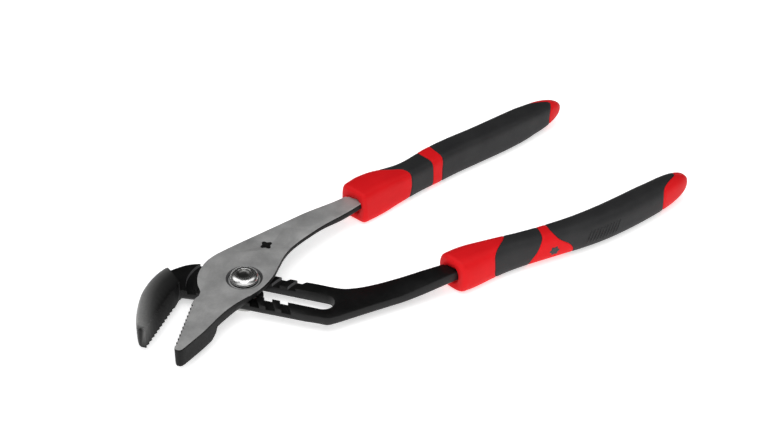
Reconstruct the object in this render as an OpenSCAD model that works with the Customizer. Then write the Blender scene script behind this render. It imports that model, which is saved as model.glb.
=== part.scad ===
// Groove-joint adjustable pliers, lying flat on one side.
// Origin: pivot axis where it meets the surface the tool lies on. +X runs along the handles, +Z is up.

/* [Joint] */
// Height of the plane between the two levers above the surface
mid_z = 9; // [9:0.1:10]
// Thickness of the upper lever's plate
upper_t = 4.5; // [4:0.1:5]
// Thickness of the lower lever's plate
lower_t = 5; // [4.6:0.1:5.2]
// Gap between the faces that slide on each other
face_gap = 0.1; // [0.06:0.02:0.2]
// Direction of the adjusting slot, from the +X axis
slot_angle = -53.3; // [-54:0.1:-52.6]
// Number of jaw settings
settings = 7; // [5:1:7]
// Distance between two settings
pitch = 7.2; // [7:0.1:7.2]

/* [Tongue and grooves] */
// Radius of the tongue's middle about the pivot
tongue_r = 17; // [16.5:0.1:17.5]
// Radial width of the tongue
tongue_w = 2.8; // [2:0.1:3]
// Depth of the tongue below the upper lever's plate
tongue_h = 1.4; // [1:0.1:1.6]
// Clearance between tongue and groove
groove_gap = 0.3; // [0.2:0.05:0.4]

/* [Pivot] */
// Diameter of the bolt's plain shank
shank_d = 9; // [8.6:0.1:9.1]
// Diameter of the bolt's threaded end
thread_d = 8; // [7:0.1:8]
// Diameter of the bolt's head
head_d = 12.6; // [12:0.1:13.5]
// Height of the bolt's head
head_h = 3; // [2.6:0.1:3.4]
// Radial running clearance of the shank in the upper lever
shank_gap = 0.05; // [0.02:0.01:0.1]
// Clearance of the shank on each side of the slot
slot_gap = 0.25; // [0.1:0.05:0.35]
// Outer diameter of the sliding washer
washer_d = 16; // [15:0.1:17]
// Thickness of the sliding washer
washer_t = 1.1; // [0.8:0.1:1.3]
// Width across the flats of the nut
nut_af = 13; // [12:0.1:14]

/* [Jaws] */
// Height of the lower lever's jaw above the joint plane
jaw_up = 5; // [4.5:0.1:5.4]
// Depth of the upper lever's jaw below the joint plane
jaw_down = 4.6; // [4:0.1:5]
// Number of teeth on each jaw
teeth = 11; // [8:1:13]
// Depth of the teeth
tooth_h = 0.8; // [0.4:0.1:1]

/* [Grips] */
// Thickness of the soft sleeves on the grips
sleeve_t = 2.2; // [1.6:0.1:2.4]
// Half the thickness of a lever's tang inside its grip
tang_half = 3; // [2.5:0.1:3.2]
// Diameter of the plain inlay in the lower grip
inlay_d = 5; // [4:0.1:5.6]

/* [Hidden] */
$fn = 96;

// The bolt sits in the second setting: one lies nearer the jaws, the rest nearer the handles
slot_r = shank_d / 2 + slot_gap;
slot_start = -pitch;
slot_end = slot_start + (settings - 1) * pitch;
bar_half = 10.4;
groove_in = tongue_r - tongue_w / 2 - groove_gap;
groove_out = tongue_r + tongue_w / 2 + groove_gap;
groove_h = tongue_h + 0.2;
groove_span = 46;
tongue_from = -5;
tongue_to = 35;
nose_r = 20.3;
shoulder_r = 27;
spot_d = head_d + 2.4;
spot_h = 0.4;
dimple_r = 3.1;
dimple_h = 1.2;
dome_drop = 2.3;
upper_bottom = mid_z + face_gap / 2;
lower_top = mid_z - face_gap / 2;
lower_bottom = lower_top - lower_t;
washer_top = lower_bottom - face_gap;
nut_h = washer_top - washer_t;

// Reach of the cutting shapes past the levers, and depth by which cuts and joins overlap
left_end = 60;
right_end = 130;
span = 100;
over = 1;

// Rounded sections of the grips: number of sides, least half size, and squareness
ring_sides = 20;
tip_least = 0.4;
upper_power = 4;
lower_power = 3;
inlay_x = 124.9;
inlay_y = -57.2;
inlay_below = 1.5;
inlay_reach = 6;

// Point at distance u along the slot and v towards the mouth of the jaws
function along(u, v) = [u * cos(slot_angle) + v * sin(slot_angle), u * sin(slot_angle) - v * cos(slot_angle)];

// Smooth curve through points, with n steps to a span
function spline_at(a, b, c, d, t) =
    b + 0.5 * t * ((c - a) + t * ((2 * a - 5 * b + 4 * c - d) + t * (3 * (b - c) + d - a)));
function spline(p, n) = [
    for (i = [0:len(p) - 2], k = [0:n - 1])
        spline_at(p[max(i - 1, 0)], p[i], p[i + 1], p[min(i + 2, len(p) - 1)], k / n),
    p[len(p) - 1]
];

// Arc about a centre, from one direction to another
function arc(c, r, from, to, n) =
    [for (k = [0:n]) let (t = from + (to - from) * k / n) c + r * [cos(t), sin(t)]];

// Row of n teeth from a to b, sunk by h to the left of that line
function saw(a, b, n, h) = let (d = (b - a) / n, s = [-d.y, d.x] * h / norm(d))
    [for (i = [0:n - 1]) each [a + d * i, a + d * (i + 0.25) + s], b];

// Outline of the lower lever: teeth, throat, near side, arm, far side, back of the jaw
lower_near = [
    along(31, bar_half), along(36.5, 10), [16.6, -38.6], [20.6, -39.9], [26.2, -40.9], [35.4, -42.5],
    [44.6, -44.2], [55, -46.2], [63, -47.8], [70, -48.8]
];
lower_far = [
    [70, -39.9], [61, -36.9], [52.4, -33.8], [43.5, -31.2], [37.5, -28.8], [32.4, -25.3], along(28.5, -10.7),
    along(23, -bar_half)
];
lower_back = [
    along(-10.5, -bar_half), [-0.6, 18], [-4, 21.6], [-8.2, 24.8], [-12, 26.8], [-16, 27.7], [-20, 28],
    [-25, 27.4], [-30, 25.7], [-35.2, 22.8], [-40.5, 18.7], [-45.5, 13.1], [-50.4, 6.2], [-53.2, 0.8],
    [-54.1, -1.6], [-53.9, -2.6]
];
lower_throat = [[-27.4, 11.6], [-25.4, 13.1], [-23.9, 13.3], along(-22.6, 10.8), along(-19, bar_half)];
lower_jaw_tip = [-52.1, -4.95];
lower_jaw_root = [-29.3, 10.1];
lower_outline = concat(
    saw(lower_jaw_tip, lower_jaw_root, teeth, tooth_h), spline(lower_throat, 4), spline(lower_near, 4),
    spline(lower_far, 4), spline(lower_back, 4)
);

// Outline of the upper lever: teeth, tip, near side, arm, far side, nose, throat
upper_near = [
    [-47.9, -21.2], [-47.9, -22.6], [-46.2, -23.9], [-42, -22.8], [-38, -21.5], [-33, -19.8], [-28, -17.8],
    [-23, -15.6], [-18, -13.8], [-13, -12.5], [-8, -11.8], [-3, -11.2], [1.5, -10.3], [6.5, -8.5], [12, -5.4],
    [17, -1.5], [22, 2.2], [27, 4.9], [32, 6.6], [37, 7.9], [47, 10], [56, 11.7], [64, 13.2]
];
upper_far = [
    [64, 23.3], [50, 22.8], [30, 22.2], [10, 21.7], [2, 21.3], [-2, 20.9], [-6, 19.9], [-9.2, 18.4]
];
upper_throat = [[-20.3, 3.2], [-22, 1.6], [-24.4, 0.8], [-26.2, -0.3]];
upper_jaw_root = [-27.6, -1.5];
upper_jaw_tip = [-47.2, -20.2];
upper_outline = concat(
    saw(upper_jaw_root, upper_jaw_tip, teeth, tooth_h), spline(upper_near, 4), spline(upper_far, 4),
    arc([0, 0], nose_r, 122, 168, 10), spline(upper_throat, 4)
);

// The thick hooked jaw of the lower lever lies on this side of its step, as seen from above
jaw_step = [
    [-left_end, span], [-left_end, -span], [-30.2, -span], [-24.9, 9], [-24.2, 13], [-22.7, 19], [-22.3, 24],
    [-22.6, span]
];
// The thick part of the upper lever's jaw ends here
block_end = -23;

// Tang of each lever inside its grip
lower_tang = [
    [69.9, -48.8], [76, -49.2], [90, -50], [118, -53.9], [118, -49.5], [90, -43.6], [76, -41.3], [69.9, -39.9]
];
upper_tang = [
    [63.9, 13.2], [70, 14.2], [86, 17], [100, 18], [115, 20],
    [115, 24.4], [100, 23.3], [86, 24.2], [70, 23.5], [63.9, 23.3]
];

// Side profiles of the levers: x, then height over the joint plane
lower_side = [
    [-left_end, -face_gap / 2 - lower_t], [52, -face_gap / 2 - lower_t], [72, -tang_half],
    [right_end, -tang_half], [right_end, tang_half], [72, tang_half], [50, -face_gap / 2],
    [-left_end, -face_gap / 2]
];
upper_side = [
    [-left_end, face_gap / 2], [46, face_gap / 2], [64, -tang_half], [right_end, -tang_half],
    [right_end, tang_half], [66, tang_half], [46, upper_t], [-left_end, upper_t]
];

// Grips: x, y, half width, half thickness at each station
upper_grip = [
    [70, 19.6, 6, 7.2], [71.2, 19.7, 6.9, 8.1], [74, 20, 7.5, 8.8], [78, 20.4, 7.6, mid_z],
    [85, 20.5, 7.2, 8.8], [92, 20.4, 6.4, 8], [100, 20.5, 5.8, 7.3], [108, 21.3, 5.8, 7.2],
    [117, 22.3, 6.2, 7.5], [130, 23, 6.1, 7.5], [145, 23, 6, 7.4], [160, 23.3, 6, 7.4],
    [172, 23.9, 5.8, 7.1], [182, 24.5, 5.3, 6.5], [189, 24.8, 4.5, 5.5], [194, 25, 3.1, 3.8],
    [196.7, 25.1, 0.9, 1.2]
];
lower_grip = [
    [75.8, -45.4, 6.3, 7.2], [77, -45.5, 7.1, 8.1], [79.8, -45.8, 7.7, 8.8], [83.5, -46.1, 7.9, mid_z],
    [89, -46.6, 7.5, 8.9], [95, -47.3, 6.8, 8.5], [103, -48.5, 6.2, 8], [111, -50.1, 5.8, 7.6],
    [120, -52, 5.7, 7.4], [130, -53.9, 5.7, 7.4], [140, -55.6, 5.9, 7.5], [152, -56.8, 6.1, 7.7],
    [165, -57.1, 6.2, 7.7], [177, -56.8, 6.1, 7.6], [188, -56.4, 5.8, 7.3], [196, -55.9, 5.1, 6.5],
    [202, -55.4, 3.7, 4.8], [205.3, -55, 1.4, 1.9]
];

// Where the sleeves lie, seen from above
upper_front_zone = [[99, 0], [115.5, 0], [115.5, 45], [88, 45], [99.5, 22]];
upper_rear_zone = [[120, 0], [175, 0], [204, 39], [204, 45], [121.5, 45], [120.5, 24]];
lower_front_zone = [[91, -70], [104, -70], [113, -59.5], [122.5, -50.5], [124, -30], [118, -30], [96.5, -54]];
lower_rear_zone = [
    [134, -70], [180, -70], [187, -60], [212, -40], [212, -30], [127.5, -30], [127.5, -51], [134, -61]
];

// Solid with rounded sections swept along the stations and drawn in by inset
module loft(stations, power, inset) {
    s = spline(stations, 2);
    n = len(s) - 1;
    points = [
        for (p = s, k = [0:ring_sides - 1])
            let (t = 360 * k / ring_sides, e = 2 / power)
            [
                p[0],
                p[1] + max(p[2] - inset, tip_least) * sign(cos(t)) * pow(abs(cos(t)), e),
                mid_z + max(p[3] - inset, tip_least) * sign(sin(t)) * pow(abs(sin(t)), e)
            ]
    ];
    ring = [for (k = [0:ring_sides - 1]) k];
    sides = [
        for (i = [0:n - 1], k = ring)
            let (a = i * ring_sides + k, b = i * ring_sides + (k + 1) % ring_sides)
            each [[a, a + ring_sides, b + ring_sides], [a, b + ring_sides, b]]
    ];
    ends = [ring, [for (k = ring) n * ring_sides + ring_sides - 1 - k]];
    polyhedron(points, concat(sides, ends));
}

// Part of an outline between two heights
module slab(outline, bottom, top) {
    translate([0, 0, bottom]) linear_extrude(top - bottom) polygon(outline);
}

// Blade or tang: an outline cut to a side profile
module profiled(outline, side) {
    intersection() {
        slab(outline, 0, 2 * mid_z);
        translate([0, span, mid_z]) rotate([90, 0, 0]) linear_extrude(2 * span) polygon(side);
    }
}

// Sector of a ring on the jaw side of a bolt position
module ring_sector(u, inner, outer, from, to, bottom, height) {
    translate([along(u, 0).x, along(u, 0).y, bottom])
        rotate([0, 0, slot_angle + 180 + from])
            rotate_extrude(angle = to - from) translate([inner, 0]) square([outer - inner, height]);
}

module lower_lever() {
    slot_sides = [for (end = [[slot_start, -1], [slot_end, -1], [slot_end, 1], [slot_start, 1]])
        along(end[0], end[1] * slot_r)];
    color([0.1, 0.1, 0.1]) difference() {
        union() {
            profiled(lower_outline, lower_side);
            profiled(lower_tang, lower_side);
            intersection() {
                slab(lower_outline, lower_top - over, mid_z + jaw_up);
                slab(jaw_step, lower_top - over, mid_z + jaw_up);
            }
        }
        slab(slot_sides, lower_bottom - over, lower_top + over);
        for (end = [slot_start, slot_end])
            translate([along(end, 0).x, along(end, 0).y, lower_bottom - over])
                cylinder(r = slot_r, h = lower_t + 2 * over);
        for (i = [0:settings - 1])
            ring_sector(slot_start + i * pitch, groove_in, groove_out, -groove_span, groove_span,
                lower_top - groove_h, groove_h + over);
    }
}

module upper_lever() {
    color([0.55, 0.55, 0.55]) difference() {
        union() {
            profiled(upper_outline, upper_side);
            profiled(upper_tang, upper_side);
            difference() {
                slab(upper_outline, mid_z - jaw_down, upper_bottom + over);
                translate([0, 0, mid_z - jaw_down - over]) cylinder(r = shoulder_r, h = jaw_down + 3 * over);
                translate([block_end, -span, mid_z - jaw_down - over])
                    cube([2 * span, 2 * span, jaw_down + 3 * over]);
            }
            ring_sector(0, tongue_r - tongue_w / 2, tongue_r + tongue_w / 2, tongue_from, tongue_to,
                upper_bottom - tongue_h, tongue_h + over);
        }
        cylinder(d = shank_d + 2 * shank_gap, h = 3 * mid_z);
        translate([0, 0, mid_z + upper_t - spot_h]) cylinder(d = spot_d, h = spot_h + over);
    }
}

module pivot_bolt() {
    head_z = mid_z + upper_t - spot_h + face_gap;
    dome = [for (k = [0:12])
        [dimple_r + (head_d / 2 - dimple_r) * sin(7.5 * k), head_h - dome_drop * (1 - cos(7.5 * k))]];
    dimple = [for (k = [0:6]) [dimple_r * sin(15 * k), head_h - dimple_h * cos(15 * k)]];
    color([0.8, 0.8, 0.8]) union() {
        cylinder(d = thread_d, h = washer_top + over);
        translate([0, 0, washer_top]) cylinder(d = shank_d, h = head_z - washer_top + over);
        translate([0, 0, head_z]) rotate_extrude()
            polygon(concat(dimple, [for (k = [1:12]) dome[k]], [[head_d / 2, 0], [0, 0]]));
    }
}

module pivot_washer() {
    color([0.7, 0.7, 0.7]) translate([0, 0, nut_h]) difference() {
        cylinder(d = washer_d, h = washer_t);
        translate([0, 0, -over]) cylinder(d = thread_d, h = washer_t + 2 * over);
    }
}

module pivot_nut() {
    color([0.7, 0.7, 0.7]) difference() {
        rotate([0, 0, slot_angle]) cylinder(d = nut_af / cos(30), h = nut_h, $fn = 6);
        translate([0, 0, -over]) cylinder(d = thread_d, h = nut_h + 2 * over);
    }
}

// Hard core of a grip: it fills the sleeves, and shows where there are none
module grip_core(stations, power, zones, tang, side) {
    difference() {
        loft(stations, power, 0);
        for (zone = zones) difference() {
            slab(zone, -over, 2 * mid_z + over);
            loft(stations, power, sleeve_t);
        }
        profiled(tang, side);
    }
}

// Soft sleeve moulded round a core
module grip_sleeve(stations, power, zone) {
    intersection() {
        difference() {
            loft(stations, power, 0);
            loft(stations, power, sleeve_t);
        }
        slab(zone, -over, 2 * mid_z + over);
    }
}

// Pin that shapes the inlay and its seat, on the near side of the lower grip
module inlay_pin() {
    translate([inlay_x, inlay_y, mid_z - inlay_below])
        rotate([90, 0, 0]) cylinder(d = inlay_d, h = inlay_reach);
}

module upper_grip_core() {
    zones = [upper_front_zone, upper_rear_zone];
    color([0.84, 0.12, 0.14]) grip_core(upper_grip, upper_power, zones, upper_tang, upper_side);
}

module upper_grip_front_sleeve() {
    color([0.2, 0.2, 0.2]) grip_sleeve(upper_grip, upper_power, upper_front_zone);
}

module upper_grip_rear_sleeve() {
    color([0.2, 0.2, 0.2]) grip_sleeve(upper_grip, upper_power, upper_rear_zone);
}

module lower_grip_core() {
    zones = [lower_front_zone, lower_rear_zone];
    color([0.84, 0.12, 0.14]) difference() {
        grip_core(lower_grip, lower_power, zones, lower_tang, lower_side);
        inlay_pin();
    }
}

module lower_grip_front_sleeve() {
    color([0.2, 0.2, 0.2]) grip_sleeve(lower_grip, lower_power, lower_front_zone);
}

module lower_grip_rear_sleeve() {
    color([0.2, 0.2, 0.2]) grip_sleeve(lower_grip, lower_power, lower_rear_zone);
}

module lower_grip_inlay() {
    color([0.2, 0.2, 0.2]) intersection() {
        loft(lower_grip, lower_power, 0);
        inlay_pin();
    }
}

lower_lever();
upper_lever();
pivot_bolt();
pivot_washer();
pivot_nut();
upper_grip_core();
upper_grip_front_sleeve();
upper_grip_rear_sleeve();
lower_grip_core();
lower_grip_front_sleeve();
lower_grip_rear_sleeve();
lower_grip_inlay();
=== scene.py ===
"""Groove-joint pliers: detailed pieces that replace the CAD parts. Outlines are in millimetres."""

import math

import bmesh
import bpy
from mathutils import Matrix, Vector


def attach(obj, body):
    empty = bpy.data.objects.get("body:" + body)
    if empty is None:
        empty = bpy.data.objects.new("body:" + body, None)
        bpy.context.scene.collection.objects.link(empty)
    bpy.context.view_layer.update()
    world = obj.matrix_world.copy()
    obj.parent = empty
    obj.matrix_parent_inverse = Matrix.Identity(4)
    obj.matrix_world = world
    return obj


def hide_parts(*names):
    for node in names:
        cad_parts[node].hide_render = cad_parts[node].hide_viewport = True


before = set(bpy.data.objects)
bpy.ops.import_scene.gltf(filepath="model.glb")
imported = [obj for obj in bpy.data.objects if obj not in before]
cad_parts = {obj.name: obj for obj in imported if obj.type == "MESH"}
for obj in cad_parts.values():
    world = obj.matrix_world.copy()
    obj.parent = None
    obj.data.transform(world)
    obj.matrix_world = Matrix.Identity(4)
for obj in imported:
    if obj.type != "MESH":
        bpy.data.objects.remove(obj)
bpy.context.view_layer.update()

MM = 0.001

# Joint, as in the CAD part
MID_Z = 9.0
UPPER_T = 4.5
LOWER_T = 5.0
FACE_GAP = 0.1
SLOT_ANGLE = math.radians(-53.3)
SETTINGS = 7
PITCH = 7.2
SLOT_FIRST = -PITCH
SLOT_LAST = SLOT_FIRST + (SETTINGS - 1) * PITCH
SLOT_HALF = 4.75
BAR_HALF = 10.4
EDGE_BEVEL = 0.16
TONGUE_R = 17.0
TONGUE_W = 2.8
TONGUE_H = 1.4
TONGUE_ARC = (-5, 35)
GROOVE_GAP = 0.3
GROOVE_H = 1.6
GROOVE_SPAN = 46
NOSE_R = 20.3
SHOULDER_R = 27.0

# Pivot
THREAD_R = 4.0
SHANK_R = 4.5
SHANK_GAP = 0.05
HEAD_R = 6.3
HEAD_H = 3.0
DIMPLE_R = 3.1
DIMPLE_H = 1.2
DOME_H = 2.3
# Wall of the dimple: distance in from its edge, then depth
DIMPLE_WALL = [
    (2.5, 1.18), (1.7, 1.12), (1.1, 1.0), (0.7, 0.84), (0.4, 0.62), (0.2, 0.4), (0.06, 0.2), (-0.02, 0.08),
    (-0.12, 0.02),
]
THREAD_TURNS = 5
THREAD_PITCH = 0.45
THREAD_DEPTH = 0.25
SPOT_H = 0.4
RECESS_R = 8.1
RECESS_EDGE = HEAD_R + 0.7
RECESS_H = 0.8
WASHER_R = 8.0
WASHER_T = 1.1
NUT_AF = 13.0

# Jaws
JAW_UP = 5.0
JAW_DOWN = 4.6
TEETH = 11
TOOTH_H = 0.8
JAW_EDGE = 0.3
# Crown of the lower jaw: distance in from its back, then height; squeezed where the jaw is narrower
CROWN_WIDTH = 10
JAW_CROWN = [
    (1.3, -5.05), (0.5, -4.55), (0.08, -3.9), (0, -3.2), (0, -1), (0, 1.2), (0.07, 2.0), (0.3, 2.65),
    (0.75, 3.2), (1.4, 3.65), (2.3, 4.02), (3.5, 4.36), (5.0, 4.64), (6.6, 4.83), (8.2, 4.94),
]
# Wear and painted highlight on the crown, lighter towards its back: how far it reaches from the back, where
# it starts at the tip, where it fades
CROWN_HIGHLIGHT_REACH = 11.0
CROWN_HIGHLIGHT_START = (-53.2, -51.6)
CROWN_HIGHLIGHT_FADE = (-48, -26)
NECK_HIGHLIGHT = 0.5
JAW_NECK = -21

# The arms thicken between the joint plate and the grips
UPPER_ARM_BOTTOM = (42, 66)
UPPER_ARM_TOP = (44, 68)
LOWER_ARM_BOTTOM = (50, 74)
LOWER_ARM_TOP = (48, 74)
TANG_HALF = 3
ARM_CUTS = 11
ARM_CUT_STEP = 2.6

# Stamped mark on the upper lever
MARK_AT = (20, 13.3)
MARK_R = 2.9
MARK_LOBES = 4
MARK_DEPTH = 0.25

# Grips
SLEEVE_T = 2.2
SLEEVE_GAP = 0.05
SEAM_DIP = 0.32
SEAM_ROUND = 0.9
# Rolled edge of a skin at a seam: share of the roll, then dip
SEAM_ROLL = [(0, SEAM_DIP), (0.12, SEAM_DIP * 0.5), (0.35, SEAM_DIP * 0.2), (0.65, 0.02)]
MOUTH_R = 2.0
MOUTH_WALL = [(1.2, 4.6), (0.35, 4.2), (0, 3.6), (0, 2.6)]
CAP_SEAM = [(0, SEAM_DIP), (0.12, 0.14), (0.4, 0.03)]
CAP_ROWS = 18
RING_SIDES = 120
ROW_STEP = 1.5
RIBS = 10
RIB_FIRST = 143.5
RIB_PITCH = 1.75
RIB_SLANT = -2.2
RIB_STEPS = 7
RIB_H = 0.32
RIB_HALF = 0.34
RIB_ROOT = -0.3
INLAY_AT = (124.9, -1.6)
INLAY_R = 2.5
INLAY_LOBES = 6
# Shares of the inlay's radius, then how far each ring stands proud of the skin
INLAY_ROWS = [(1, -1.2), (1, 0.02), (0.9, 0.14), (0.6, 0.18), (0.3, 0.1), (0.05, 0.08)]

# Studio and camera, in metres
FLOOR_HALF = 3.0
FLOOR_DROP = 0.0002
FLOOR_GLOW = 0.55
AIM = (0.07, 0.0, 0.009)
# Soft patches of sky: where each lies, the cosines between which its edge fades, and its light
SOFTBOXES = [
    ((-0.59, -0.81, 0.15), (0.35, 0.9), (0.04, 0.95)),
    ((-0.42, 0.45, 0.78), (0.88, 0.97), (0.0, 1.7)),
    ((0.52, -0.30, 0.8), (0.91, 0.98), (0.0, 1.2)),
]
LAMP_SIZE = 0.8
LAMP_POWER = 5.2
LAMP_AT = (-0.2, -0.35, 1.0)
CAMERA_AT = (-0.33842, -0.5713, 0.56296)
CAMERA_TO = (0.07844, 0.00242, 0.00886)
CAMERA_LENS = 92.57
CAMERA_SENSOR = 36
CAMERA_CLIP = 0.01

UPPER_BOTTOM = MID_Z + FACE_GAP / 2
UPPER_TOP = MID_Z + UPPER_T
LOWER_TOP = MID_Z - FACE_GAP / 2
LOWER_BOTTOM = LOWER_TOP - LOWER_T
WASHER_TOP = LOWER_BOTTOM - FACE_GAP
NUT_H = WASHER_TOP - WASHER_T
HEAD_Z = UPPER_TOP - SPOT_H + FACE_GAP


def along(u, v):
    """Point at distance u along the slot and v towards the mouth of the jaws."""
    c, s = math.cos(SLOT_ANGLE), math.sin(SLOT_ANGLE)
    return (u * c + v * s, u * s - v * c)


# Lower lever: black, with the slot and the hooked jaw
LOWER_NEAR = [
    along(31, BAR_HALF), along(36.5, 10), (16.6, -38.6), (20.6, -39.9), (26.2, -40.9), (35.4, -42.5),
    (44.6, -44.2), (55, -46.2), (63, -47.8), (70, -48.8), (76, -49.2), (82, -49.5),
]
LOWER_FAR = [
    (82, -42.4), (76, -41.3), (70, -39.9), (61, -36.9), (52.4, -33.8), (43.5, -31.2), (37.5, -28.8),
    (32.4, -25.3), along(28.5, -10.7), along(23, -BAR_HALF),
]
LOWER_NECK_FAR = [
    along(-10.5, -BAR_HALF), (-0.6, 18), (-4, 21.6), (-8.2, 24.8), (-12, 26.8), (-16, 27.7), (-20, 28),
    (-22.5, 27.8),
]
LOWER_NECK_NEAR = [(-24.2, 13.2), (-23.6, 13.2), along(-22.6, 10.8), along(-19, BAR_HALF)]
LOWER_JAW_BACK = [
    (-53.9, -2.6), (-54.1, -1.6), (-53.2, 0.8), (-50.4, 6.2), (-45.5, 13.1), (-40.5, 18.7), (-35.2, 22.8),
    (-30, 25.7), (-25, 27.4), (-22.4, 27.8),
]
LOWER_JAW_TIP = (-52.1, -4.95)
LOWER_JAW_ROOT = (-29.3, 10.1)
LOWER_JAW_THROAT = [(-27.4, 11.6), (-25.4, 13.1), (-24.4, 13.3)]

# Upper lever: ground face, with the nose over the joint
UPPER_NEAR = [
    (-47.9, -21.2), (-47.9, -22.6), (-46.2, -23.9), (-42, -22.8), (-38, -21.5), (-33, -19.8), (-28, -17.8),
    (-23, -15.6), (-18, -13.8), (-13, -12.5), (-8, -11.8), (-3, -11.2), (1.5, -10.3), (6.5, -8.5),
    (12, -5.4), (17, -1.5), (22, 2.2), (27, 4.9), (32, 6.6), (37, 7.9), (47, 10), (56, 11.7), (64, 13.2),
    (70, 14.2), (78, 15.6),
]
UPPER_FAR = [
    (78, 24), (70, 23.5), (64, 23.3), (50, 22.8), (30, 22.2), (10, 21.7), (2, 21.3), (-2, 20.9), (-6, 19.9),
    (-9.2, 18.4),
]
UPPER_THROAT = [(-20.3, 3.2), (-22, 1.6), (-24.4, 0.8), (-26.2, -0.3)]
UPPER_JAW_ROOT = (-27.6, -1.5)
UPPER_JAW_TIP = (-47.2, -20.2)
UPPER_BLOCK_END = (-23, -15.6)
CHAMFER_GROWS = (-20, 14)
# Planes that cut the block's end: x and height of each, then its normal's x and z
BLOCK_SLOPES = [(-24.4, -1.2, 0.9, -0.45), (-26.2, -3.2, 0.6, -0.8), (-28.6, -4.4, 0.25, -0.97)]

# Grips: x, y, half width, half thickness
UPPER_GRIP = [
    (68, 19.4, 7.1, 8.4), (72, 19.8, 7.4, 8.7), (78, 20.4, 7.6, 9), (85, 20.5, 7.2, 8.8), (92, 20.4, 6.4, 8),
    (100, 20.5, 5.8, 7.3), (108, 21.3, 5.8, 7.2), (117, 22.3, 6.2, 7.5), (130, 23, 6.1, 7.5),
    (145, 23, 6, 7.4), (160, 23.3, 6, 7.4), (172, 23.9, 5.8, 7.1), (180, 24.4, 5.4, 6.6),
    (198, 25.1, 5.0, 6.1),
]
LOWER_GRIP = [
    (73.8, -45.2, 7.4, 8.5), (78, -45.6, 7.7, 8.8), (83.5, -46.1, 7.9, 9), (89, -46.6, 7.5, 8.9),
    (95, -47.3, 6.8, 8.5), (103, -48.5, 6.2, 8), (111, -50.1, 5.8, 7.6), (120, -52, 5.7, 7.4),
    (130, -53.9, 5.7, 7.4), (140, -55.6, 5.9, 7.5), (152, -56.8, 6.1, 7.7), (165, -57.1, 6.2, 7.7),
    (177, -56.8, 6.1, 7.6), (186, -56.5, 5.8, 7.4), (207, -54.9, 5.2, 6.8),
]


# ---------------------------------------------------------------- outlines

def spline(points, steps):
    """Smooth curve through points in two or more dimensions."""
    found = []
    for i in range(len(points) - 1):
        a, b = points[max(i - 1, 0)], points[i]
        c, d = points[i + 1], points[min(i + 2, len(points) - 1)]
        for k in range(steps):
            t = k / steps
            found.append(tuple(
                q + 0.5 * t * ((r - p) + t * ((2 * p - 5 * q + 4 * r - s) + t * (3 * (q - r) + s - p)))
                for p, q, r, s in zip(a, b, c, d)
            ))
    return found + [tuple(points[-1])]


def arc(radius, start, end, steps, centre=(0, 0)):
    """Points of an arc, with its directions in degrees."""
    turns = [math.radians(start + (end - start) * k / steps) for k in range(steps + 1)]
    return [(centre[0] + radius * math.cos(t), centre[1] + radius * math.sin(t)) for t in turns]


def saw(a, b):
    """Row of teeth from a to b, sunk to the left of that line."""
    dx, dy = (b[0] - a[0]) / TEETH, (b[1] - a[1]) / TEETH
    size = math.hypot(dx, dy)
    sx, sy = -dy * TOOTH_H / size, dx * TOOTH_H / size
    found = []
    for i in range(TEETH):
        found.append((a[0] + dx * i, a[1] + dy * i))
        found.append((a[0] + dx * (i + 0.25) + sx, a[1] + dy * (i + 0.25) + sy))
    return found + [tuple(b)]


def without_repeats(points, closer=0.02):
    """Closed outline without neighbours that are closer than this."""
    found = []
    for p in points:
        if not found or math.dist(p, found[-1]) > closer:
            found.append(p)
    if math.dist(found[0], found[-1]) < closer:
        found.pop()
    return found


def inset_outline(points, amounts):
    """Closed anticlockwise outline, each point moved inwards by its own amount."""
    found = []
    count = len(points)
    for i, (x, y) in enumerate(points):
        ax, ay = points[i - 1]
        bx, by = points[(i + 1) % count]
        e, f = Vector((x - ax, y - ay)).normalized(), Vector((bx - x, by - y)).normalized()
        m, n = Vector((-e.y, e.x)), Vector((-f.y, f.x))
        half = m + n
        half = half / max(half.length_squared / 2, 0.7)
        found.append((x + half.x * amounts[i], y + half.y * amounts[i]))
    return found


def resampled(points, shares):
    """Points at the given shares of a polyline's length."""
    lengths = [0.0]
    for a, b in zip(points, points[1:]):
        lengths.append(lengths[-1] + math.dist(a, b))
    found, i = [], 0
    for share in shares:
        target = share * lengths[-1]
        while i < len(points) - 2 and lengths[i + 1] < target:
            i += 1
        span = max(lengths[i + 1] - lengths[i], 1e-9)
        t = min(max((target - lengths[i]) / span, 0), 1)
        found.append(tuple(p + (q - p) * t for p, q in zip(points[i], points[i + 1])))
    return found


def between(x, x0, x1, a, b):
    """Smooth step from a at x0 to b at x1."""
    t = min(max((x - x0) / (x1 - x0), 0), 1)
    return a + (b - a) * t * t * (3 - 2 * t)


# ---------------------------------------------------------------- meshes

def rings_to_bmesh(rings, bm=None, caps=True):
    """Closed rings of equal length joined into a skin, with a face on each end."""
    bm = bm or bmesh.new()
    made = [[bm.verts.new(p) for p in ring] for ring in rings]
    count = len(made[0])
    for a, b in zip(made, made[1:]):
        for k in range(count):
            n = (k + 1) % count
            bm.faces.new((a[k], a[n], b[n], b[k]))
    if caps:
        bm.faces.new(list(reversed(made[0])))
        bm.faces.new(made[-1])
    return bm


def to_object(name, bm):
    """Mesh object with outward faces, from a bmesh that is then freed."""
    bmesh.ops.recalc_face_normals(bm, faces=bm.faces)
    mesh = bpy.data.meshes.new(name)
    bm.to_mesh(mesh)
    bm.free()
    obj = bpy.data.objects.new(name, mesh)
    bpy.context.scene.collection.objects.link(obj)
    return obj


def apply_modifiers(obj):
    """Keeps the mesh as its modifiers leave it, and removes them."""
    graph = bpy.context.evaluated_depsgraph_get()
    mesh = bpy.data.meshes.new_from_object(obj.evaluated_get(graph))
    obj.modifiers.clear()
    obj.data = mesh


def combine(obj, cutter, operation):
    """Boolean with a second object, which is then removed."""
    modifier = obj.modifiers.new(operation, "BOOLEAN")
    modifier.operation = operation
    modifier.object = cutter
    modifier.solver = "EXACT"
    apply_modifiers(obj)
    bpy.data.objects.remove(cutter)


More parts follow.
